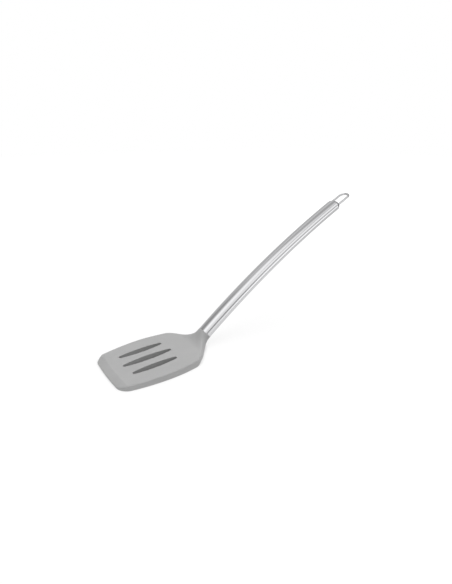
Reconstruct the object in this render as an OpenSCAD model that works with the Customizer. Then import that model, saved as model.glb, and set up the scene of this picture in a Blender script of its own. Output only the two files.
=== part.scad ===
// Slotted turner: a silicone blade over a stiff core, on a hollow steel handle with a wire loop.
// X runs from the front edge of the blade to the loop, Y across the blade, Z up from the table.
// The origin lies under the middle of the whole tool.

/* [Blade] */
// Width of the blade at its widest place
blade_w = 76.4; // [66:0.2:90]
// Distance from the front edge to the widest place
widest_at = 48; // [42:0.5:56]
// Radius of the side curves in front of the widest place
front_side_r = 198; // [160:1:300]
// Radius of the side curves behind the widest place
rear_side_r = 141; // [120:1:240]
// Radius of the bowed front edge
front_edge_r = 320; // [220:1:600]
// Distance over which the bow of the front edge fades out
bow_len = 40; // [30:1:60]
// Radius of the two front corners
corner_r = 9; // [6:0.5:12]
// Distance from the front edge to the start of the shoulders
shoulder_at = 78; // [74:0.5:82]
// How much narrower the base is, at each side, where the shoulders start
base_cut = 1.8; // [0.6:0.1:2]
// Inward lean of the side walls between base and top
side_lean = 1.4; // [0.6:0.1:2.5]
// Rounding of the top edge of the side walls
top_edge_r = 1.2; // [0.3:0.1:1.4]
// Rounding of the bottom edge of the side walls
base_edge_r = 0.4; // [0.2:0.1:0.6]

/* [Thickness] */
// Thickness of the lip at the front edge
lip_t = 1.4; // [1.2:0.1:2]
// Length of the bevel behind the front edge
bevel_len = 7; // [5:0.5:12]
// Thickness of the blade where the bevel ends
bevel_t = 4.2; // [4:0.1:5.5]
// Thickness of the blade at its heel
heel_t = 6.2; // [5.4:0.1:7]

/* [Slots] */
// Distance from the front edge to the middle of the slots
slot_at = 42; // [40:0.5:45]
// Distance from the middle slot to each side slot
slot_pitch = 16.3; // [14.5:0.1:18]
// Length of the middle slot
mid_slot_len = 50.4; // [42:0.5:54]
// Width of the middle slot at its middle
mid_slot_w = 8; // [6:0.1:9]
// Length of each side slot
side_slot_len = 45.4; // [38:0.5:50]
// Width of a side slot at its middle
side_slot_w = 7.2; // [6:0.1:8]
// Radius of the round ends of a slot
slot_end_r = 1.9; // [1.2:0.1:2.4]

/* [Neck] */
// Slope of the neck where it meets the handle, in degrees
neck_slope = 37.6; // [30:0.2:42]
// Distance from the front edge to the seam between neck and handle
seam_at = 107.2; // [105:0.2:112]
// Height of the middle of the seam above the table
seam_rise = 11.7; // [11:0.1:13]
// Straight length before the seam where the neck is as wide as the handle
neck_run = 2.2; // [1:0.1:4]
// Radius of the bend in the neck
bend_r = 26; // [20:0.5:28]

/* [Core] */
// Distance from the front edge to the core
core_at = 14; // [12:0.5:20]
// Thickness of the core's plate
core_t = 2.2; // [1.6:0.1:2.6]
// Silicone under the core's plate
base_skin = 1.2; // [0.8:0.1:1.4]
// Silicone beside the core's plate
side_skin = 3; // [2:0.1:5]
// Silicone round each slot
slot_skin = 1.8; // [1:0.1:2]
// How far the plate reaches into the bend of the neck
plate_overlap = 4; // [2:0.5:5]
// Width of the bar in the neck
bar_w = 11; // [9:0.2:12]
// Thickness of the bar in the neck
bar_t = 4; // [3.4:0.1:4.4]
// Step from the bar down to the tang, all round
tang_step = 0.4; // [0.2:0.1:0.6]
// Length of the tang inside the handle
tang_len = 46; // [30:1:80]
// Length of the resin round the tang
resin_len = 40; // [20:1:70]

/* [Handle] */
// Width of the handle
handle_w = 17.2; // [16:0.2:21]
// Height of the handle
handle_h = 12.2; // [11:0.2:15]
// Wall of the two steel shells
shell_wall = 0.8; // [0.6:0.1:1.2]
// Radius of the arc that the handle follows
handle_arc_r = 1072; // [800:1:2000]
// Length of the handle from the seam to its rounded end
handle_len = 220.5; // [180:1:260]
// Length of the plug in the rear end
plug_len = 12; // [8:0.5:20]

/* [Loop] */
// Diameter of the wire
wire_d = 2.5; // [2:0.1:3]
// Radius of the bend along the middle of the wire
loop_r = 5.9; // [4:0.1:6]
// How far the loop stands out of the handle
loop_reach = 20.5; // [14:0.5:30]
// How far the loop lies above the middle of the handle
loop_up = 0.8; // [0.4:0.1:1]
// How far the wire runs into the plug
leg_seat = 10; // [6:0.5:18]

/* [Hidden] */

// Counts of points along and across the blade
corner_steps = 6;
blade_steps = 10;
neck_steps = 13;
cross_steps = 10;
edge_steps = 5;
// Fine arcs of the handle, the slots and the wire
arc_fn = 360;
round_fn = 96;
// Share of each half section that stays flat at the seam
seam_flat_share = 0.06;
// Bulge of the bevel: 1 is a flat bevel
bevel_power = 1.1;
// How far the middle of the base's cut lies behind the start of the shoulders, and its half length
cut_past = 5;
cut_half = 8;
// Overrun of every cut past the face that it opens
overrun = lip_t;

// The middle line of the neck: an arc from the flat blade, then a straight run to the seam
arc_rise = bend_r * (1 - cos(neck_slope));
run_len = (seam_rise - heel_t / 2 - arc_rise) / sin(neck_slope);
bend_at = seam_at - bend_r * sin(neck_slope) - run_len * cos(neck_slope);
bend_len = bend_r * neck_slope * PI / 180;
seam_s = bend_at + bend_len + run_len;

// The arc of the handle
arc_centre = [seam_at + handle_arc_r * sin(neck_slope), seam_rise - handle_arc_r * cos(neck_slope)];
tube_len = handle_len - handle_h / 2;
bore_w = handle_w - 2 * shell_wall;
bore_h = handle_h - 2 * shell_wall;
bend_out = loop_reach + handle_h / 2 - loop_r - wire_d / 2;
tang_w = bar_w - 2 * tang_step;
tang_t = bar_t - 2 * tang_step;
end_slope = slope_at(tube_len);
tip_x = along(tube_len)[0] + (bend_out + loop_r) * cos(end_slope) + wire_d / 2
    - loop_up * sin(end_slope);
origin_x = tip_x / 2;

function ease(t) = t <= 0 ? 0 : t >= 1 ? 1 : t * t * (3 - 2 * t);
function mix(a, b, t) = a + (b - a) * t;

// Slope and place of the handle's middle line at a distance u behind the seam
function slope_at(u) = neck_slope - u / handle_arc_r * 180 / PI;
function along(u) = arc_centre + handle_arc_r * [-sin(slope_at(u)), cos(slope_at(u))];

// Share of the way from the shoulder to the seam, and from the bend to the seam
function shoulder_t(s) = ease((s - shoulder_at) / (seam_s - neck_run - shoulder_at));
function neck_t(s) = ease((s - bend_at) / (seam_s - bend_at));

// Half width of blade and neck at a distance s along their middle line
function corner_cut(s) = s >= corner_r ? 0 : corner_r - sqrt(s * (2 * corner_r - s));
function side_r(s) = s < widest_at ? front_side_r : rear_side_r;
function blade_half(s) = blade_w / 2 - pow(s - widest_at, 2) / (2 * side_r(s)) - corner_cut(s);
function half_w(s) = mix(blade_half(s), handle_w / 2, shoulder_t(s));
function base_half(s) =
    half_w(s) - base_cut * pow(max(1 - pow((s - shoulder_at - cut_past) / cut_half, 2), 0), 2);

// Thickness of the blade, then of the neck
function bevel_rise(s) = 1 - pow(1 - s / bevel_len, bevel_power);
function blade_t(s) = s < bevel_len ? mix(lip_t, bevel_t, bevel_rise(s))
    : mix(bevel_t, heel_t, (s - bevel_len) / (bend_at - bevel_len));
function section_h(s) = s < bend_at ? blade_t(s) : mix(heel_t, handle_h, neck_t(s));

// Slope and place of the middle line of blade and neck
function bend_angle(s) = min(max(s - bend_at, 0) / bend_len, 1) * neck_slope;
function run_past(s) = max(s - bend_at - bend_len, 0);
function middle(s) = s < bend_at ? [s, section_h(s) / 2]
    : [bend_at + bend_r * sin(bend_angle(s)) + run_past(s) * cos(neck_slope),
       heel_t / 2 + bend_r * (1 - cos(bend_angle(s))) + run_past(s) * sin(neck_slope)];

// One half of a section, from +Y to -Y: a rounded corner, the flat and the other corner
function half_section(half, h, round_y, round_z, side) =
    let (flat = half - round_y, rise = h - round_z)
    [for (i = [0 : edge_steps]) let (a = 90 * i / edge_steps)
         [flat + round_y * cos(a), side * (rise + round_z * sin(a))],
     for (i = [1 : cross_steps - 1]) [flat * (1 - 2 * i / cross_steps), side * h],
     for (i = [0 : edge_steps]) let (a = 90 - 90 * i / edge_steps)
         [-flat - round_y * cos(a), side * (rise + round_z * sin(a))]];

function flipped(list) = [for (i = [len(list) - 1 : -1 : 0]) list[i]];

// A whole section of the blade or neck, with its points in the frame of the part
function section(s) =
    let (t = neck_t(s), h = section_h(s) / 2, base = base_half(s),
         top = half_w(s) - side_lean * (1 - t), round_share = 1 - seam_flat_share,
         upper = half_section(top, h, mix(top_edge_r, top * round_share, t),
                              mix(min(top_edge_r, h), h * round_share, t), 1),
         lower = half_section(base, h, mix(base_edge_r, base * round_share, t),
                              mix(base_edge_r, h * round_share, t), -1),
         place = middle(s), a = bend_angle(s), fade = max(1 - s / bow_len, 0))
    [for (p = concat(upper, flipped(lower)))
         [place[0] - p[1] * sin(a) + p[0] * p[0] / (2 * front_edge_r) * fade,
          p[0], place[1] + p[1] * cos(a)]];

// Where the sections lie: dense round the corners and at the end of the bevel, wide along the
// blade, dense again in the neck
corner_rows = [for (i = [0 : corner_steps]) corner_r * (1 - cos(90 * i / corner_steps))];
flat_from = max(corner_r, bevel_len) + lip_t;
stations = concat(
    [for (s = corner_rows) if (s < bevel_len) s],
    [bevel_len],
    [for (s = corner_rows) if (s > bevel_len) s],
    [for (i = [0 : blade_steps - 1]) mix(flat_from, shoulder_at, i / blade_steps)],
    [for (i = [0 : neck_steps]) mix(shoulder_at, seam_s, i / neck_steps)]);

module blade_body() {
    rows = len(stations);
    ring = 2 * (2 * edge_steps + cross_steps + 1);
    points = [for (s = stations) each section(s)];
    walls = [for (i = [0 : rows - 2], j = [0 : ring - 1])
        let (a = i * ring + j, b = i * ring + (j + 1) % ring)
        each [[a, a + ring, b + ring], [a, b + ring, b]]];
    front = [for (j = [0 : ring / 2 - 2])
        each [[j, j + 1, ring - 2 - j], [j, ring - 2 - j, ring - 1 - j]]];
    last = (rows - 1) * ring;
    back = [for (f = front) [for (k = flipped(f)) k + last]];
    polyhedron(points, concat(walls, front, back));
}

// A long slot: two shallow arcs that run a little way into two round caps
module slot_shape(length, width, end_r) {
    reach = length / 2 - end_r;
    bulge = width / 2 - end_r;
    arc_r = (reach * reach + bulge * bulge) / (2 * bulge);
    intersection() {
        translate([0, width / 2 - arc_r]) circle(r = arc_r, $fn = arc_fn);
        translate([0, arc_r - width / 2]) circle(r = arc_r, $fn = arc_fn);
        square([2 * reach + end_r / 4, width], center = true);
    }
    for (end = [-1, 1]) translate([end * reach, 0]) circle(r = end_r, $fn = round_fn);
}

module slots(skin = 0) {
    for (row = [-1 : 1])
        translate([slot_at, row * slot_pitch, -overrun])
            linear_extrude(height = heel_t + 2 * overrun)
                slot_shape((row == 0 ? mid_slot_len : side_slot_len) - 2 * skin,
                           (row == 0 ? mid_slot_w : side_slot_w) - 2 * skin, slot_end_r - skin);
}

// The stiff core: a slotted plate and a bar that bends up through the neck into the handle.
// Where it cuts its own room in the silicone, the bar runs past the seam.
module core_body(past = 0) {
    plate_end = bend_at + plate_overlap;
    places = [for (i = [0 : blade_steps]) mix(core_at, shoulder_at, i / blade_steps),
              for (i = [1 : edge_steps]) mix(shoulder_at, plate_end, i / edge_steps)];
    right = [for (s = places) [s, half_w(s) - side_skin]];
    left = [for (p = flipped(right)) [p[0], -p[1]]];
    difference() {
        translate([0, 0, base_skin]) linear_extrude(height = core_t) polygon(concat(right, left));
        slots(-slot_skin);
    }
    translate([bend_at - plate_overlap, -bar_w / 2, heel_t / 2 - bar_t / 2])
        cube([plate_overlap, bar_w, bar_t]);
    translate([bend_at, 0, heel_t / 2 + bend_r]) rotate([90, 0, 0]) rotate([0, 0, -90])
        rotate_extrude(angle = neck_slope, $fn = arc_fn)
            translate([bend_r, 0]) square([bar_t, bar_w], center = true);
    at_handle(0) translate([-run_len, -bar_w / 2, -bar_t / 2]) cube([run_len + past, bar_w, bar_t]);
    along_handle(-run_len / 2, tang_len) square([tang_t, tang_w], center = true);
}

// Places a child at a distance u behind the seam, with X along the handle
module at_handle(u) {
    translate([along(u)[0], 0, along(u)[1]]) rotate([0, -slope_at(u), 0]) children();
}

// Turns a child into the plane of the handle's arc, with X out from its centre through u
module in_arc(u) {
    translate([arc_centre[0], 0, arc_centre[1]]) rotate([90, 0, 0]) rotate([0, 0, 90 + slope_at(u)])
        children();
}

// Sweeps a flat shape along the handle from u0 to u1; its X is the height, its Y the width
module along_handle(u0, u1) {
    in_arc(u1) rotate_extrude(angle = slope_at(u0) - slope_at(u1), $fn = arc_fn)
        translate([handle_arc_r, 0]) children();
}

module oval(height, width) {
    scale([height / width, 1]) circle(d = width, $fn = round_fn);
}

// One half of the handle's wall in section, on the side of +X or of -X
module half_wall(side) {
    mirror([side > 0 ? 0 : 1, 0]) intersection() {
        difference() {
            oval(handle_h, handle_w);
            oval(bore_h, bore_w);
        }
        translate([handle_h / 2, 0]) square([handle_h, 2 * handle_w], center = true);
    }
}

// The wire's two straight legs, along the handle from one place to the other
module wire_legs(from, to) {
    for (y = [-loop_r, loop_r])
        translate([from, y, loop_up]) rotate([0, 90, 0])
            cylinder(h = to - from, d = wire_d, $fn = round_fn);
}

// The upper or lower shell: half a tube, and a quarter of the egg that closes its rear end
module handle_shell(side) {
    difference() {
        union() {
            along_handle(0, tube_len) half_wall(side);
            in_arc(tube_len) translate([handle_arc_r, 0, 0]) mirror([side > 0 ? 0 : 1, 0, 0])
                rotate([0, 0, -90]) rotate_extrude(angle = 90, $fn = round_fn) half_wall(1);
        }
        at_handle(tube_len) wire_legs(0, handle_h);
    }
}

module blade_cover() {
    color([0.62, 0.62, 0.62]) translate([-origin_x, 0, 0]) difference() {
        blade_body();
        core_body(overrun);
        slots();
    }
}

module blade_core() {
    color([0.25, 0.25, 0.26]) translate([-origin_x, 0, 0]) core_body();
}

module tang_adhesive() {
    color([0.85, 0.8, 0.6]) translate([-origin_x, 0, 0])
        along_handle(0, resin_len) difference() {
            oval(bore_h, bore_w);
            square([tang_t, tang_w], center = true);
        }
}

module handle_upper_shell() {
    color([0.8, 0.81, 0.82]) translate([-origin_x, 0, 0]) handle_shell(1);
}

module handle_lower_shell() {
    color([0.76, 0.77, 0.78]) translate([-origin_x, 0, 0]) handle_shell(-1);
}

module end_plug() {
    color([0.2, 0.2, 0.2]) translate([-origin_x, 0, 0]) difference() {
        along_handle(tube_len - plug_len, tube_len) oval(bore_h, bore_w);
        at_handle(tube_len) wire_legs(-leg_seat, overrun);
    }
}

module hanging_loop() {
    color([0.7, 0.71, 0.72]) translate([-origin_x, 0, 0]) at_handle(tube_len) {
        wire_legs(-leg_seat, bend_out);
        translate([bend_out, 0, loop_up]) rotate([0, 0, -90])
            rotate_extrude(angle = 180, $fn = arc_fn)
                translate([loop_r, 0]) circle(d = wire_d, $fn = round_fn);
    }
}

blade_cover();
blade_core();
tang_adhesive();
handle_upper_shell();
handle_lower_shell();
end_plug();
hanging_loop();
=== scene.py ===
# A slotted turner on a pale floor: a silicone head, a polished steel handle and a wire loop.
# All lengths are in metres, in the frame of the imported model: X runs from the front edge of the
# blade to the loop, Y across the blade and Z up from the floor.
import math

import bmesh
import bpy
import numpy as np
from mathutils import Matrix, Vector
from mathutils.geometry import delaunay_2d_cdt


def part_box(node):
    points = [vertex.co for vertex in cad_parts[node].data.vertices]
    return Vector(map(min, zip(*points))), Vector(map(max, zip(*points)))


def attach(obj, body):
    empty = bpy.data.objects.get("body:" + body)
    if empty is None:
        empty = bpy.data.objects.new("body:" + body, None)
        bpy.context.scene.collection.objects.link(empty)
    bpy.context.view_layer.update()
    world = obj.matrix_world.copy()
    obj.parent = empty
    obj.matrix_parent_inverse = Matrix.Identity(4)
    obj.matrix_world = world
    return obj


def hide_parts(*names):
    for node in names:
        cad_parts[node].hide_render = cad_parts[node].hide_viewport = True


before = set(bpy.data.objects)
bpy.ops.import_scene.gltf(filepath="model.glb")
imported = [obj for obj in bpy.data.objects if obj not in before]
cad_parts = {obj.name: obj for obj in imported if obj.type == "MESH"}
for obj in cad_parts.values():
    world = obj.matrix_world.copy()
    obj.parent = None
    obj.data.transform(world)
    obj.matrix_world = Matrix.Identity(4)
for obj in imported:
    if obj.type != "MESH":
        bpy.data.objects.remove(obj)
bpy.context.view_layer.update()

# Sizes and places that the frame gives
cover_low, cover_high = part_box("blade_cover")
shell_low, shell_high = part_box("handle_upper_shell")
front_x = cover_low.x
blade_w = cover_high.y - cover_low.y
handle_w = shell_high.y - shell_low.y

# Outline of the blade
widest_at = 0.048
front_side_r = 0.198
rear_side_r = 0.141
front_edge_r = 0.320
bow_len = 0.040
corner_r = 0.009
shoulder_at = 0.078
base_cut = 0.0018
cut_past = 0.005
cut_half = 0.008
side_lean = 0.0014
top_edge_r = 0.0010
rear_edge_r = 0.0020
base_edge_r = 0.0004
# The top edge is rounded more at the front corners: width, height and where it ends
soft_w = 0.0018
soft_h = 0.0013
soft_from = 0.009
soft_to = 0.045
# The rounding of the top edge is at most this many half thicknesses high
edge_h_max = 1.2

# Thickness of the blade
lip_t = 0.0014
lip_round = 0.0005
bevel_len = 0.007
bevel_t = 0.0042
bevel_power = 1.1
heel_t = 0.0062

# Slots: length and width of the middle slot and of the two beside it
slot_at = 0.042
slot_pitch = 0.0163
mid_slot = (0.0504, 0.008)
side_slot = (0.0454, 0.0072)
slot_end_r = 0.0019
slot_edge_r = 0.0004

# Neck
neck_slope = math.radians(37.6)
seam_at = 0.1072
seam_rise = 0.0117
neck_run = 0.0022
bend_r = 0.026
seam_flat_share = 0.01

# Handle
handle_h = 0.0122
shell_wall = 0.0008
handle_arc_r = 1.072
handle_len = 0.2205

# Wire loop
wire_d = 0.0025
loop_r = 0.0059
loop_reach = 0.0205
loop_up = 0.0008
leg_seat = 0.010

# Values worked out from these
arc_rise = bend_r * (1 - math.cos(neck_slope))
run_len = (seam_rise - heel_t / 2 - arc_rise) / math.sin(neck_slope)
bend_at = seam_at - bend_r * math.sin(neck_slope) - run_len * math.cos(neck_slope)
bend_len = bend_r * neck_slope
seam_s = bend_at + bend_len + run_len
tube_len = handle_len - handle_h / 2
bend_out = loop_reach + handle_h / 2 - loop_r - wire_d / 2
slotted_from = max(corner_r, bevel_len) + lip_t
slotted_to = shoulder_at - neck_run

# Counts of steps in the meshes
lip_steps = 6
corner_steps = 14
slotted_steps = 36
neck_steps = 44
edge_steps = 8
flat_steps = 22
slot_steps = 22
slot_edge_steps = 4
tube_steps = 90
shell_steps = 50
dome_steps = 16
wire_steps = 24
bend_steps = 40
leg_steps = 12

# Points in half a section of the head and in a whole one
half_ring = 2 * (edge_steps + 1) + flat_steps - 1
ring_size = 2 * half_ring

# Distances in the meshes: from the front edge to the rows of the corners, from a sharp edge to the
# row that holds its shading, between the points that fill a slotted flat, from these to its edges,
# and between points that count as one
lip_clear = 1.1 * lip_round
edge_hold = shell_wall / 10
fill_pitch = 0.0022
fill_clear = 0.6 * fill_pitch
same_place = 1e-7
fill_precision = 1e-9

# Colours
silicone_dark = (0.440, 0.440, 0.440)
silicone_light = (0.462, 0.462, 0.462)
steel_color = (0.63, 0.63, 0.64)
wire_color = (0.60, 0.60, 0.61)
nylon_color = (0.08, 0.08, 0.08)
resin_color = (0.60, 0.52, 0.34)
plug_color = (0.05, 0.05, 0.05)
# How bright the darkest grain of the plain materials is, as a share of their colour
grain_dark = 0.9

# Roughness of the smoothest spots and of the roughest ones
silicone_rough = (0.50, 0.62)
steel_rough = (0.10, 0.18)
wire_rough = (0.08, 0.14)
nylon_rough = (0.45, 0.55)
resin_rough = (0.27, 0.33)

# Scales of the noises, per metre, and how much the belt's marks are drawn out along the steel
cloud_scale = 60
silicone_rough_scale = 420
silicone_grain_scale = 2600
belt_scale = 5200
belt_stretch = 0.02
nylon_scale = 900
resin_scale = 300

# Depths of the bumps, and how strongly two of them tilt the surface
silicone_grain_depth = 0.00003
silicone_grain_strength = 0.5
belt_depth = 0.0000015
belt_strength = 0.6
plain_grain_depth = 0.00004

# The view of the photograph: degrees, metres and pixels
view_azimuth = -35.739
view_elevation = 22.487
view_roll = 0.336
view_target = (0.04282, 0.08999, 0.0053)
view_distance = 0.5375
focal_px = 400
frame_h_px = 584
sensor_mm = 36

# Half width of the floor and its greys: as it is lit, past the slots, where the darker grey is
# painted shade under the blade, and where it keeps the shadow under its glow
floor_half = 3.0
floor_grey = (0.80, 0.80, 0.80)
slot_shade_grey = (0.35, 0.35, 0.35)
keeper_grey = (0.20, 0.20, 0.20)

# The oval of floor past the slots, painted darker as shade under the blade: half length, half
# width and, as a share of these, its soft edge
oval_half_len = 0.036
oval_half_w = 0.034
oval_edge = (0.9, 1.0)

# The floor's glow, seen directly and in the steel. Each fade in the stage has the range that it
# runs over and the values at its two ends. These two run over the distance from the middle.
seen_glow = ((0.15, 0.6), 0.82, 0.96)
mirror_glow = ((0.1, 0.4), 0.78, 0.55)

# The shade on the floor close behind the blade: how far from the blade it reaches, the direction
# in which a point of the floor looks for it, and what is left of the glow, from where the blade
# hides most of that side to where it hides none
contact_reach = 0.004
contact_side = (-0.85, -0.2, 0.5)
contact_glow = ((0.2, 1.0), 0.55, 1.0)

# Strength of the white room as a light
room_strength = 0.42

# Brightness in the mirrored room, where 1 is white. These fades run over the X part of the
# direction, apart from one that runs over the angle round the X axis, in degrees.
panel_by_x = ((-0.02, 0.13), 1.0, 1.5)
box_by_x = ((-0.7, -0.1), 1.60, 1.42)
box_by_turn = ((55, 105), 0.72, 1.0)
wall_by_x = ((-0.23, -0.10), 0.42, 0.64)
gap_by_x = ((-0.3, 0.1), 0.75, 0.57)
far_end_by_x = ((0.55, 0.85), 1.0, 0.15)

# The angle at which the softbox ends, by X, and how soft its edge and the panel's edge are
box_end_by_x = ((-0.25, 0.21), 114, 90)
box_edge = (-17, 17)
panel_edge = (-3, 3)

# Soft lines in the mirrored room: the angle of the middle, the half widths where it starts and ends
# to fade, and its strength. The rim's angle is counted from the end of the softbox.
gap_line = (37.0, (3, 12), 1.0)
strip_line = (62.0, (5, 12), 0.30)
seam_line = (78.0, (2, 8), 0.34)
rim_line = (12.0, (5, 30), 0.12)
glint_line = (132.0, (3, 9), 0.34)

# Where four of these lines fade in, by X
strip_from = (-0.35, -0.1)
seam_from = (-0.35, 0.0)
rim_from = (-0.2, 0.2)
glint_from = (-0.3, -0.1)

# Lamps: size, distance from the point that they aim at, azimuth and elevation from it in degrees,
# and power in watts
lamp_size = 1.0
lamp_distance = 1.2
lamp_aim = (0.0, 0.0, 0.03)
overhead_at = (180, 68)
overhead_power = 5.5
side_at = (0, 45)
side_power = 7.6


def ease(t):
    t = min(max(t, 0), 1)
    return t * t * (3 - 2 * t)


def mix(a, b, t):
    return a + (b - a) * t


def spaced(start, end, count, hold):
    """Evenly spaced values, and one more close to each end, which keeps the shading true there."""
    inner = [mix(start, end, i / count) for i in range(1, count)]
    return [start, start + hold, *inner, end - hold, end]


def quarter_turn(count):
    """Angles from 0 to a right angle, in even steps."""
    return [math.radians(90 * i / count) for i in range(count + 1)]


def add_mesh(name, points, faces, flat_faces=()):
    """A new object from points and faces, with every face turned outwards. The flat faces meet
    the smooth ones at a sharp edge."""
    mesh = bpy.data.meshes.new(name)
    mesh.from_pydata(points, [], [*faces, *flat_faces])
    form = bmesh.new()
    form.from_mesh(mesh)
    bmesh.ops.delete(form, geom=[v for v in form.verts if not v.link_faces], context="VERTS")
    bmesh.ops.recalc_face_normals(form, faces=form.faces)
    form.to_mesh(mesh)
    form.free()
    for i, polygon in enumerate(mesh.polygons):
        polygon.use_smooth = i < len(faces)
    piece = bpy.data.objects.new(name, mesh)
    bpy.context.scene.collection.objects.link(piece)
    return piece


def weight_normals(piece):
    """Keeps the large faces flat in the shading and puts the turn into the rounded edges."""
    modifier = piece.modifiers.new("weighted", "WEIGHTED_NORMAL")
    modifier.mode = "FACE_AREA"
    modifier.keep_sharp = True


# Blade and neck

def half_width(s):
    """Half width of the blade or neck at a distance s along the middle line."""
    cut = 0 if s >= corner_r else corner_r - math.sqrt(max(s * (2 * corner_r - s), 0))
    side_r = front_side_r if s < widest_at else rear_side_r
    blade_half = blade_w / 2 - (s - widest_at) ** 2 / (2 * side_r) - cut
    share = ease((s - shoulder_at) / (seam_s - neck_run - shoulder_at))
    return mix(blade_half, handle_w / 2, share)


def base_half_width(s):
    """The same for the base, which is narrower where the shoulders start."""
    from_middle = (s - shoulder_at - cut_past) / cut_half
    return half_width(s) - base_cut * max(1 - from_middle ** 2, 0) ** 2


def thickness(s):
    if s < bevel_len:
        return mix(lip_t, bevel_t, 1 - (1 - s / bevel_len) ** bevel_power)
    if s < bend_at:
        return mix(bevel_t, heel_t, (s - bevel_len) / (bend_at - bevel_len))
    return mix(heel_t, handle_h, ease((s - bend_at) / (seam_s - bend_at)))


def lip_cut(s):
    """What the rounding of the front edge takes off each face."""
    if s >= lip_round:
        return 0
    return lip_round - math.sqrt(max(s * (2 * lip_round - s), 0))


def bend_angle(s):
    return min(max(s - bend_at, 0) / bend_len, 1) * neck_slope


def head_place(s, y, z):
    """The point at s along the middle line, y across it and z above it."""
    angle = bend_angle(s)
    if s < bend_at:
        x0, z0 = s, thickness(s) / 2
    else:
        past = max(s - bend_at - bend_len, 0)
        x0 = bend_at + bend_r * math.sin(angle) + past * math.cos(neck_slope)
        z0 = heel_t / 2 + bend_r * (1 - math.cos(angle)) + past * math.sin(neck_slope)
    bow = y * y / (2 * front_edge_r) * max(1 - s / bow_len, 0)
    return (front_x + x0 - z * math.sin(angle) + bow, y, z0 + z * math.cos(angle))


def unbowed(x, y):
    """The distance s of a point x behind the front edge, where the bow shifts the rows."""
    shift = y * y / (2 * front_edge_r)
    s = (x - shift) / (1 - shift / bow_len)
    return s if s < bow_len else x


def half_section(half, h, round_y, round_z, side):
    """One half of a section, from +Y to -Y: a rounded corner, the flat and the other corner."""
    flat, rise = half - round_y, h - round_z
    corner = quarter_turn(edge_steps)
    points = [(flat + round_y * math.cos(a), side * (rise + round_z * math.sin(a))) for a in corner]
    points += [(flat * (1 - 2 * i / flat_steps), side * h) for i in range(1, flat_steps)]
    points += [(-flat - round_y * math.cos(a), side * (rise + round_z * math.sin(a)))
               for a in reversed(corner)]
    return points


def section(s):
    """A whole section of the blade or neck, as pairs across and above the middle line."""
    t = ease((s - bend_at) / (seam_s - bend_at))
    h = thickness(s) / 2 - lip_cut(s)
    base = base_half_width(s)
    top = half_width(s) - side_lean * (1 - t)
    round_share = 1 - seam_flat_share
    soft = 1 - ease((s - soft_from) / (soft_to - soft_from))
    edge = mix(top_edge_r, rear_edge_r, ease((s - soft_to) / (shoulder_at - soft_to)))
    edge_y, edge_z = mix(edge, soft_w, soft), mix(edge, soft_h, soft)
    upper = half_section(top, h, mix(edge_y, top * round_share, t),
                         mix(min(edge_z, edge_h_max * h), h * round_share, t), 1)
    lower = half_section(base, h, mix(base_edge_r, base * round_share, t),
                         mix(min(base_edge_r, h), h * round_share, t), -1)
    return upper + lower[::-1]


def head_rows():
    """Where the sections of the head stand along its middle line, and which of them are the first
    and the last of the slotted stretch."""
    corner_rows = [corner_r * (1 - math.cos(a)) for a in quarter_turn(corner_steps)[1:]]
    lip_rows = [lip_round * (1 - math.cos(a)) for a in quarter_turn(lip_steps)]
    rows = lip_rows + [s for s in corner_rows if s > lip_clear]
    rows = [s for s in rows if abs(s - bevel_len) > lip_round]
    rows = sorted(rows + [bevel_len - lip_round, bevel_len, bevel_len + lip_round])
    first = len(rows)
    rows += [mix(slotted_from, slotted_to, i / slotted_steps) for i in range(slotted_steps + 1)]
    last = len(rows) - 1
    rows += spaced(slotted_to, seam_s, neck_steps, edge_hold)[1:]
    return rows, first, last


def slot_outline(length, width):
    """Points and outward normals of a slot about its middle: two shallow arcs and two round ends."""
    reach = length / 2 - slot_end_r
    bulge = width / 2 - slot_end_r
    arc_r = (reach ** 2 + bulge ** 2) / (2 * bulge)
    half_angle = math.asin(reach / arc_r)
    end_steps = slot_steps // 2
    points = []
    for side in (1, -1):
        for i in range(slot_steps):
            a = mix(half_angle, -half_angle, i / slot_steps)
            normal = Vector((side * math.sin(a), side * math.cos(a)))
            middle = Vector((0, side * (width / 2 - arc_r)))
            points.append((middle + normal * arc_r, normal))
        for i in range(end_steps):
            a = mix(half_angle, math.pi - half_angle, i / end_steps)
            normal = Vector((-side * math.sin(a), side * math.cos(a)))
            points.append((Vector((-side * reach, 0)) + normal * slot_end_r, normal))
    return points


def slot_rings(points, outline, side):
    """Adds the points of a slot's rounded edge, ring by ring from the face of the blade into the
    slot. Side 1 is the upper face, side -1 the lower one."""
    rings = []
    for a in quarter_turn(slot_edge_steps):
        out, drop = slot_edge_r * (1 - math.sin(a)), slot_edge_r * (1 - math.cos(a))
        ring = []
        for p, n in outline:
            q = p + n * out
            s = unbowed(q.x, q.y)
            ring.append(len(points))
            points.append(head_place(s, q.y, side * (thickness(s) / 2 - drop)))
        rings.append(ring)
    return rings


def flat_rim(flat, first, last):
    """The numbers of the points round a flat, from its first row of points to its last."""
    left = [i * ring_size + flat[0] for i in range(first, last + 1)]
    right = [i * ring_size + flat[-1] + 1 for i in range(first, last + 1)]
    front = [first * ring_size + j for j in flat]
    back = [last * ring_size + j for j in flat]
    return front + right + back[:0:-1] + left[:0:-1]


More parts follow.
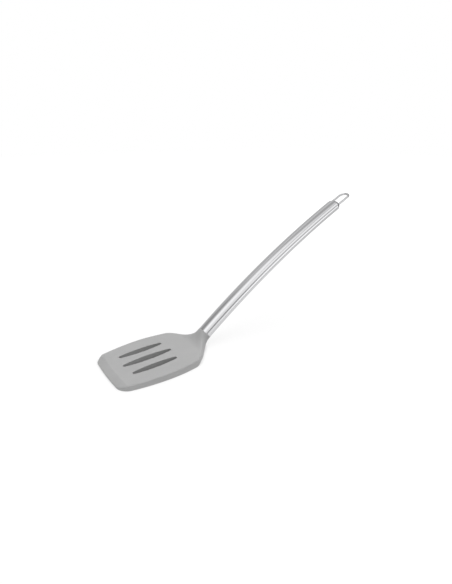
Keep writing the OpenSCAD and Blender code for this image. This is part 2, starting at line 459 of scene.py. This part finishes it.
def build_head():
    rows, first_slotted, last_slotted = head_rows()
    points = [head_place(s, y, z) for s in rows for y, z in section(s)]
    faces = []

    # The skin between rows, without the two flats of the slotted stretch
    upper_flat = range(edge_steps, edge_steps + flat_steps)
    lower_flat = range(half_ring + edge_steps, half_ring + edge_steps + flat_steps)
    for i in range(len(rows) - 1):
        slotted = first_slotted <= i < last_slotted
        for j in range(ring_size):
            if slotted and (j in upper_flat or j in lower_flat):
                continue
            a, b = i * ring_size + j, i * ring_size + (j + 1) % ring_size
            faces.append((a, a + ring_size, b + ring_size, b))

    # The front edge and the flat end in the handle's mouth
    last = (len(rows) - 1) * ring_size
    seam_faces = []
    for j in range(half_ring - 1):
        k = ring_size - 1 - j
        faces.append((j, j + 1, k - 1, k))
        seam_faces.append((last + k, last + k - 1, last + j + 1, last + j))

    # The slotted stretch: the walls of the slots, and both flats round them
    slots = []
    for row in (-1, 0, 1):
        outline = slot_outline(*(side_slot if row else mid_slot))
        slots.append([(Vector((slot_at, row * slot_pitch)) + p, n) for p, n in outline])
    edges = {side: [slot_rings(points, outline, side) for outline in slots] for side in (1, -1)}
    for upper, lower in zip(edges[1], edges[-1]):
        rings = upper + lower[::-1]
        for first, second in zip(rings, rings[1:]):
            for i in range(len(first)):
                j = (i + 1) % len(first)
                faces.append((first[i], first[j], second[j], second[i]))
    for side, flat in ((1, upper_flat), (-1, lower_flat)):
        rim = flat_rim(flat, first_slotted, last_slotted)
        faces += slotted_flat(points, rim, [rings[0] for rings in edges[side]], side)

    head = add_mesh("silicone_head", points, faces, seam_faces)
    weight_normals(head)
    return head


def inside(loop, point):
    """Whether a closed loop of points goes round the point."""
    x, y = point
    found = False
    for (ax, ay), (bx, by) in zip(loop, loop[1:] + loop[:1]):
        if (ay > y) != (by > y) and x < (bx - ax) * (y - ay) / (by - ay) + ax:
            found = not found
    return found


def slotted_flat(points, rim, holes, side):
    """Triangles between a rim and the edges of the slots in it, with new points where there is room."""
    def flat_place(i):
        x, y = points[i][0] - front_x, points[i][1]
        return (x, y)

    def in_flat(point):
        return inside(loops[0], point) and not any(inside(loop, point) for loop in loops[1:])

    loops = [[flat_place(i) for i in loop] for loop in [rim] + holes]
    known = list(rim) + [i for hole in holes for i in hole]
    edge_points = np.array([p for loop in loops for p in loop])
    low, high = edge_points.min(0), edge_points.max(0)
    low_y = -math.floor(high[1] / fill_pitch) * fill_pitch
    spare = []
    for x in np.arange(low[0] + fill_pitch, high[0], fill_pitch):
        for y in np.arange(low_y, high[1], fill_pitch):
            near = np.hypot(*(edge_points - (x, y)).T).min()
            if near > fill_clear and in_flat((x, y)):
                spare.append((x, y))
    for x, y in spare:
        s = unbowed(x, y)
        known.append(len(points))
        points.append(head_place(s, y, side * thickness(s) / 2))
    flat = [Vector(p) for loop in loops for p in loop] + [Vector(p) for p in spare]
    borders, start = [], 0
    for loop in loops:
        borders += [(start + i, start + (i + 1) % len(loop)) for i in range(len(loop))]
        start += len(loop)
    _, _, triangles, origin, _, _ = delaunay_2d_cdt(flat, borders, [], 0, fill_precision)
    faces = []
    for triangle in triangles:
        corners = [origin[i][0] for i in triangle]
        middle = sum((flat[i] for i in corners), Vector((0, 0))) / 3
        if in_flat(middle):
            faces.append(tuple(known[i] for i in corners))
    return faces


# Handle and wire loop

def handle_slope(u):
    return neck_slope - u / handle_arc_r


def handle_place(u, out, y, z):
    """The point u along the handle's arc, then out along its axis, y across and z above it."""
    slope = handle_slope(u)
    centre = (front_x + seam_at + handle_arc_r * math.sin(neck_slope),
              seam_rise - handle_arc_r * math.cos(neck_slope))
    radius = handle_arc_r + z
    return (centre[0] - radius * math.sin(slope) + out * math.cos(slope), y,
            centre[1] + radius * math.cos(slope) + out * math.sin(slope))


def join_poles(piece):
    """Makes one point of the points at the same place, such as those at the top of a dome."""
    form = bmesh.new()
    form.from_mesh(piece.data)
    bmesh.ops.remove_doubles(form, verts=form.verts, dist=same_place)
    form.to_mesh(piece.data)
    form.free()


def add_swept(name, points, faces, marks, flat_faces=()):
    """A piece whose UV map holds metres along it and metres round it."""
    piece = add_mesh(name, points, faces, flat_faces)
    layer = piece.data.uv_layers.new(name="along_and_round")
    for loop in piece.data.loops:
        layer.data[loop.index].uv = marks[loop.vertex_index]
    join_poles(piece)
    return piece


def build_shell(name, side):
    """Half of the hollow handle: side 1 is the upper half, side -1 the lower one."""
    stops = [(u, 0) for u in spaced(0, tube_len, tube_steps, edge_hold)]
    stops += [(tube_len, turn) for turn in quarter_turn(dome_steps)[1:]]
    angles = spaced(0, math.pi, shell_steps - 2, edge_hold / handle_h)
    points, faces, rims, marks = [], [], [], []
    for inset in (0, shell_wall):
        half_y, half_z = handle_w / 2 - inset, handle_h / 2 - inset
        for u, turn in stops:
            for a in angles:
                points.append(handle_place(u, half_z * math.sin(turn),
                                           half_y * math.cos(turn) * math.cos(a),
                                           side * half_z * math.cos(turn) * math.sin(a)))
                marks.append((u + handle_h / 2 * turn, a * handle_w / 2))
    width = len(angles)
    layer = width * len(stops)

    for i in range(len(stops) - 1):
        for j in range(shell_steps):
            a, b = i * width + j, i * width + j + 1
            faces.append((a, a + width, b + width, b))
            faces.append((layer + b, layer + b + width, layer + a + width, layer + a))
        for j in (0, shell_steps):
            a = i * width + j
            rims.append((a, layer + a, layer + a + width, a + width))
    rims += [(j, j + 1, layer + j + 1, layer + j) for j in range(shell_steps)]
    return add_swept(name, points, faces, marks, rims)


def loop_path():
    """The middle line of the wire: how far out and across each point is, and the direction from
    it to the middle of the loop."""
    start = -leg_seat
    path = [(mix(start, bend_out, i / leg_steps), -loop_r, (0, 1)) for i in range(leg_steps)]
    for i in range(bend_steps + 1):
        a = math.radians(-90 + 180 * i / bend_steps)
        path.append((bend_out + loop_r * math.cos(a), loop_r * math.sin(a),
                     (-math.cos(a), -math.sin(a))))
    path += [(mix(bend_out, start, i / leg_steps), loop_r, (0, -1))
             for i in range(1, leg_steps + 1)]
    return path


def build_loop():
    """The bent wire, from one seat in the handle's plug to the other."""
    path = loop_path()
    points, marks, faces, run = [], [], [], 0
    for k, (out, y, inward) in enumerate(path):
        if k:
            run += math.hypot(out - path[k - 1][0], y - path[k - 1][1])
        for i in range(wire_steps):
            a = 2 * math.pi * i / wire_steps
            reach = wire_d / 2 * math.cos(a)
            points.append(handle_place(tube_len, out + inward[0] * reach, y + inward[1] * reach,
                                       loop_up + wire_d / 2 * math.sin(a)))
            marks.append((run, a * wire_d / 2))
    for k in range(len(path) - 1):
        for i in range(wire_steps):
            a, b = k * wire_steps + i, k * wire_steps + (i + 1) % wire_steps
            faces.append((a, b, b + wire_steps, a + wire_steps))
    last = (len(path) - 1) * wire_steps
    ends = [tuple(range(wire_steps)), tuple(range(last, last + wire_steps))]
    return add_swept("wire_loop", points, faces, marks, ends)


# Materials

def new_material(name):
    """A material, the lists of its nodes and links, and its Principled shader."""
    material = bpy.data.materials.new(name)
    material.use_nodes = True
    nodes, links = material.node_tree.nodes, material.node_tree.links
    return material, nodes, links, nodes["Principled BSDF"]


def add_noise(nodes, links, vector, scale, detail=3.0, roughness=0.5):
    noise = nodes.new("ShaderNodeTexNoise")
    noise.inputs["Scale"].default_value = scale
    noise.inputs["Detail"].default_value = detail
    noise.inputs["Roughness"].default_value = roughness
    links.new(vector, noise.inputs["Vector"])
    return noise.outputs["Fac"]


def add_range(nodes, links, value, low, high, source=(0.3, 0.7)):
    """Maps a value from source, in which most of a noise lies, to low and high."""
    spread = nodes.new("ShaderNodeMapRange")
    spread.inputs["From Min"].default_value = source[0]
    spread.inputs["From Max"].default_value = source[1]
    spread.inputs["To Min"].default_value = low
    spread.inputs["To Max"].default_value = high
    links.new(value, spread.inputs["Value"])
    return spread.outputs["Result"]


def add_bump(nodes, links, shader, height, distance, strength=1.0):
    bump = nodes.new("ShaderNodeBump")
    bump.inputs["Strength"].default_value = strength
    bump.inputs["Distance"].default_value = distance
    links.new(height, bump.inputs["Height"])
    links.new(bump.outputs["Normal"], shader.inputs["Normal"])


def add_tint(nodes, links, factor, dark, light, target):
    """Sets the target to a colour from dark to light, by the factor."""
    tint = nodes.new("ShaderNodeMix")
    tint.data_type = "RGBA"
    tint.inputs["A"].default_value = (*dark, 1)
    tint.inputs["B"].default_value = (*light, 1)
    links.new(factor, tint.inputs["Factor"])
    links.new(tint.outputs["Result"], target)


def silicone_material():
    """Matte grey silicone: a fine moulded grain and a faint cloudiness in the pigment."""
    material, nodes, links, shader = new_material("grey silicone")
    shader.inputs["IOR"].default_value = 1.42
    place = nodes.new("ShaderNodeTexCoord").outputs["Object"]
    cloud = add_noise(nodes, links, place, cloud_scale, detail=2)
    cloud = add_range(nodes, links, cloud, 0, 1)
    add_tint(nodes, links, cloud, silicone_dark, silicone_light, shader.inputs["Base Color"])
    grain = add_noise(nodes, links, place, silicone_grain_scale, detail=2)
    add_bump(nodes, links, shader, grain, silicone_grain_depth, silicone_grain_strength)
    rough = add_noise(nodes, links, place, silicone_rough_scale)
    links.new(add_range(nodes, links, rough, *silicone_rough), shader.inputs["Roughness"])
    return material


def steel_material(name, color, roughness):
    """Polished steel with the hair-thin lengthwise marks of the polishing belt."""
    material, nodes, links, shader = new_material(name)
    shader.inputs["Metallic"].default_value = 1.0
    shader.inputs["Base Color"].default_value = (*color, 1)
    uv = nodes.new("ShaderNodeUVMap")
    uv.uv_map = "along_and_round"
    stretch = nodes.new("ShaderNodeMapping")
    stretch.inputs["Scale"].default_value = (belt_stretch, 1, 1)
    links.new(uv.outputs["UV"], stretch.inputs["Vector"])
    marks = add_noise(nodes, links, stretch.outputs["Vector"], belt_scale, roughness=0.6)
    links.new(add_range(nodes, links, marks, *roughness), shader.inputs["Roughness"])
    add_bump(nodes, links, shader, marks, belt_depth, belt_strength)
    return material


def plain_material(name, color, roughness, grain_scale):
    """Moulded plastic or resin, with a fine uneven surface."""
    material, nodes, links, shader = new_material(name)
    place = nodes.new("ShaderNodeTexCoord").outputs["Object"]
    grain = add_noise(nodes, links, place, grain_scale)
    dark = [c * grain_dark for c in color]
    add_tint(nodes, links, grain, dark, color, shader.inputs["Base Color"])
    links.new(add_range(nodes, links, grain, *roughness), shader.inputs["Roughness"])
    add_bump(nodes, links, shader, grain, plain_grain_depth)
    return material


def dress(piece, material, slot=None, body="root"):
    """Gives a piece its material. A piece given a slot also gets a body to ride on."""
    piece.data.materials.clear()
    piece.data.materials.append(material)
    if slot:
        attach(piece, body)


# Stage

def view_axes():
    """The view's right, up and forward directions."""
    azimuth, elevation = math.radians(view_azimuth), math.radians(view_elevation)
    right = Vector((math.cos(azimuth), math.sin(azimuth), 0))
    forward = Vector((-math.sin(azimuth) * math.cos(elevation),
                      math.cos(azimuth) * math.cos(elevation), -math.sin(elevation)))
    up = right.cross(forward)
    roll = math.radians(view_roll)
    return (right * math.cos(roll) + up * math.sin(roll),
            up * math.cos(roll) - right * math.sin(roll), forward)


def build_camera():
    right, up, forward = view_axes()
    data = bpy.data.cameras.new("camera")
    data.sensor_width = sensor_mm
    data.lens = focal_px / frame_h_px * sensor_mm
    data.clip_start = 0.01
    camera = bpy.data.objects.new("camera", data)
    turn = Matrix((right, up, -forward)).transposed().to_4x4()
    camera.matrix_world = Matrix.Translation(Vector(view_target) - forward * view_distance) @ turn
    bpy.context.scene.collection.objects.link(camera)
    bpy.context.scene.camera = camera


def add_math(nodes, links, operation, first, second):
    """A Math node; each input is a socket or a number."""
    node = nodes.new("ShaderNodeMath")
    node.operation = operation
    for place, value in enumerate((first, second)):
        if isinstance(value, (int, float)):
            node.inputs[place].default_value = value
        else:
            links.new(value, node.inputs[place])
    return node.outputs[0]


def add_length(nodes, links, vector):
    length = nodes.new("ShaderNodeVectorMath")
    length.operation = "LENGTH"
    links.new(vector, length.inputs[0])
    return length.outputs["Value"]


def add_step(nodes, links, value, source, low=0.0, high=1.0):
    """A soft step of the value, from low to high over the range in source."""
    step = nodes.new("ShaderNodeMapRange")
    step.interpolation_type = "SMOOTHSTEP"
    step.inputs["From Min"].default_value = source[0]
    step.inputs["From Max"].default_value = source[1]
    step.inputs["To Min"].default_value = low
    step.inputs["To Max"].default_value = high
    links.new(value, step.inputs["Value"])
    return step.outputs["Result"]


def seen_directly(nodes, links):
    """1 for rays that come straight from the camera, a mirror or glass."""
    path = nodes.new("ShaderNodeLightPath")
    first = add_math(nodes, links, "MAXIMUM", path.outputs["Is Camera Ray"],
                     path.outputs["Is Glossy Ray"])
    return add_math(nodes, links, "MAXIMUM", first, path.outputs["Is Transmission Ray"])


def outside_oval(nodes, links, place):
    """0 on an oval of the floor within the blade's outline, seen only through the slots, where a
    darker grey is painted as shade under the blade, and 1 outside it."""
    oval = nodes.new("ShaderNodeMapping")
    oval.vector_type = "TEXTURE"
    oval.inputs["Location"].default_value = (front_x + slot_at, 0, 0)
    oval.inputs["Scale"].default_value = (oval_half_len, oval_half_w, 1)
    links.new(place, oval.inputs["Vector"])
    return add_step(nodes, links, add_length(nodes, links, oval.outputs["Vector"]), oval_edge)


def add_floor_glow(nodes, links, place):
    """The light that makes the floor look white. It makes up for the lamps' light, which gets
    weaker away from the middle, and it is weaker close behind the blade."""
    distance = add_length(nodes, links, place)
    mirrored = nodes.new("ShaderNodeLightPath").outputs["Is Glossy Ray"]
    plain = add_math(nodes, links, "SUBTRACT", 1.0, mirrored)
    plain = add_math(nodes, links, "MULTIPLY", add_step(nodes, links, distance, *seen_glow), plain)
    near = nodes.new("ShaderNodeAmbientOcclusion")
    near.inputs["Distance"].default_value = contact_reach
    near.inputs["Normal"].default_value = contact_side
    plain = add_math(nodes, links, "MULTIPLY", plain,
                     add_step(nodes, links, near.outputs["AO"], *contact_glow))
    mirrored = add_math(nodes, links, "MULTIPLY",
                        add_step(nodes, links, distance, *mirror_glow), mirrored)
    glow = nodes.new("ShaderNodeEmission")
    links.new(add_math(nodes, links, "ADD", plain, mirrored), glow.inputs["Strength"])
    return glow.outputs[0]


def build_floor():
    """A pale floor that shows white and keeps the shadow. Through the slots it is seen as it is lit,
    with a darker grey painted there as shade under the blade.
    """
    half = floor_half
    corners = [(-half, -half, 0), (half, -half, 0), (half, half, 0), (-half, half, 0)]
    floor = add_mesh("floor", corners, [(0, 1, 2, 3)])
    material, nodes, links, _ = new_material("pale floor")
    nodes.clear()
    place = nodes.new("ShaderNodeTexCoord").outputs["Object"]
    open_floor = outside_oval(nodes, links, place)

    matte = nodes.new("ShaderNodeBsdfDiffuse")
    # Past the slots the matte floor gets a darker grey: painted shade under the blade
    add_tint(nodes, links, open_floor, slot_shade_grey, floor_grey, matte.inputs["Color"])
    keeper = nodes.new("ShaderNodeBsdfDiffuse")
    keeper.inputs["Color"].default_value = (*keeper_grey, 1)
    both = nodes.new("ShaderNodeAddShader")
    links.new(keeper.outputs[0], both.inputs[0])
    links.new(add_floor_glow(nodes, links, place), both.inputs[1])

    choose = nodes.new("ShaderNodeMixShader")
    links.new(add_math(nodes, links, "MULTIPLY", seen_directly(nodes, links), open_floor),
              choose.inputs[0])
    links.new(matte.outputs[0], choose.inputs[1])
    links.new(both.outputs[0], choose.inputs[2])
    output = nodes.new("ShaderNodeOutputMaterial")
    links.new(choose.outputs[0], output.inputs["Surface"])
    floor.data.materials.append(material)


def add_mirrored_room(nodes, links):
    """How bright the white room looks in a mirror, by direction. Round the X axis, from the
    horizon in front of the tool (0 degrees) over the top (90) to the back (180), come a white
    panel, a narrow gap, a softbox overhead and a grey wall. The softbox has a brighter strip and
    a darker seam in it, and the wall a dark rim next to the softbox and a lighter strip. The end
    of the room that the loop points to is dark."""
    def step(value, source, low=0.0, high=1.0):
        return add_step(nodes, links, value, source, low, high)

    def math_node(operation, first, second=0.0):
        return add_math(nodes, links, operation, first, second)

    def line(angle, middle, fade, strength):
        from_middle = math_node("ABSOLUTE", math_node("SUBTRACT", angle, middle))
        return step(from_middle, fade, strength, 0.0)

    def blend(first, second, share):
        rest = math_node("SUBTRACT", 1.0, share)
        return math_node("ADD", math_node("MULTIPLY", first, rest),
                         math_node("MULTIPLY", second, share))

    direction = nodes.new("ShaderNodeTexCoord").outputs["Generated"]
    split = nodes.new("ShaderNodeSeparateXYZ")
    links.new(direction, split.inputs[0])
    x, y, z = split.outputs
    turn = math_node("MULTIPLY", math_node("ARCTAN2", z, math_node("MULTIPLY", y, -1.0)),
                     math.degrees(1))

    panel = step(x, *panel_by_x)

    strip = math_node("MULTIPLY", line(turn, *strip_line), step(x, strip_from))
    seam = math_node("MULTIPLY", line(turn, *seam_line), step(x, seam_from))
    box = math_node("MULTIPLY", step(x, *box_by_x), step(turn, *box_by_turn))
    box = math_node("MULTIPLY", box, math_node("ADD", 1.0, math_node("SUBTRACT", strip, seam)))

    past_box = math_node("SUBTRACT", turn, step(x, *box_end_by_x))
    rim = math_node("MULTIPLY", line(past_box, *rim_line), step(x, rim_from))
    glint = math_node("MULTIPLY", line(turn, *glint_line), step(x, glint_from))
    wall = math_node("SUBTRACT", step(x, *wall_by_x), rim)
    wall = math_node("MULTIPLY", wall, math_node("ADD", 1.0, glint))

    past_panel = step(math_node("SUBTRACT", turn, gap_line[0]), panel_edge)
    room = blend(panel, blend(box, wall, step(past_box, box_edge)), past_panel)
    gap = math_node("MULTIPLY", step(x, *gap_by_x), line(turn, *gap_line))
    room = math_node("MULTIPLY", room, math_node("SUBTRACT", 1.0, gap))
    return math_node("MULTIPLY", room, step(x, *far_end_by_x))


def build_world():
    """A white room: plain white behind the floor, softly lit all round, and with panels and
    softboxes where it shows in the steel."""
    world = bpy.data.worlds.new("studio")
    bpy.context.scene.world = world
    world.use_nodes = True
    nodes, links = world.node_tree.nodes, world.node_tree.links
    nodes.clear()
    room = nodes.new("ShaderNodeBackground")
    room.inputs["Color"].default_value = (1, 1, 1, 1)
    room.inputs["Strength"].default_value = room_strength
    white = nodes.new("ShaderNodeBackground")
    white.inputs["Color"].default_value = (1, 1, 1, 1)
    glossy = nodes.new("ShaderNodeLightPath").outputs["Is Glossy Ray"]
    mirrored = add_math(nodes, links, "MULTIPLY", add_mirrored_room(nodes, links), glossy)
    plain = add_math(nodes, links, "SUBTRACT", 1.0, glossy)
    links.new(add_math(nodes, links, "ADD", mirrored, plain), white.inputs["Strength"])
    choose = nodes.new("ShaderNodeMixShader")
    links.new(seen_directly(nodes, links), choose.inputs[0])
    links.new(room.outputs[0], choose.inputs[1])
    links.new(white.outputs[0], choose.inputs[2])
    output = nodes.new("ShaderNodeOutputWorld")
    links.new(choose.outputs[0], output.inputs["Surface"])


def add_softbox(name, place, power):
    """A square lamp at an azimuth and elevation. The mirrored room stands for it in the steel, so
    no mirror shows the lamp itself."""
    azimuth, elevation = math.radians(place[0]), math.radians(place[1])
    direction = Vector((math.cos(azimuth) * math.cos(elevation),
                        math.sin(azimuth) * math.cos(elevation), math.sin(elevation)))
    data = bpy.data.lights.new(name, "AREA")
    data.shape = "SQUARE"
    data.size = lamp_size
    data.energy = power
    lamp = bpy.data.objects.new(name, data)
    lamp.location = Vector(lamp_aim) + direction * lamp_distance
    lamp.rotation_euler = direction.to_track_quat("Z", "Y").to_euler()
    lamp.visible_glossy = False
    bpy.context.scene.collection.objects.link(lamp)


build_camera()
build_world()
build_floor()
add_softbox("overhead softbox", overhead_at, overhead_power)
add_softbox("side softbox", side_at, side_power)

silicone = silicone_material()
steel = steel_material("polished steel", steel_color, steel_rough)
wire_steel = steel_material("wire steel", wire_color, wire_rough)
nylon = plain_material("black nylon", nylon_color, nylon_rough, nylon_scale)
resin = plain_material("cast resin", resin_color, resin_rough, resin_scale)
plug = plain_material("black plug", plug_color, nylon_rough, nylon_scale)

head = build_head()
dress(head, silicone, "silicone")
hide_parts("blade_cover")
for shell_name, node, side in (("upper_shell", "handle_upper_shell", 1),
                               ("lower_shell", "handle_lower_shell", -1)):
    shell = build_shell(shell_name, side)
    dress(shell, steel, "steel")
    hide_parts(node)
loop = build_loop()
dress(loop, wire_steel, "wire")
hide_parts("hanging_loop")
dress(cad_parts["blade_core"], nylon)
dress(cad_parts["tang_adhesive"], resin)
dress(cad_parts["end_plug"], plug)

bpy.context.scene.view_settings.view_transform = "Standard"
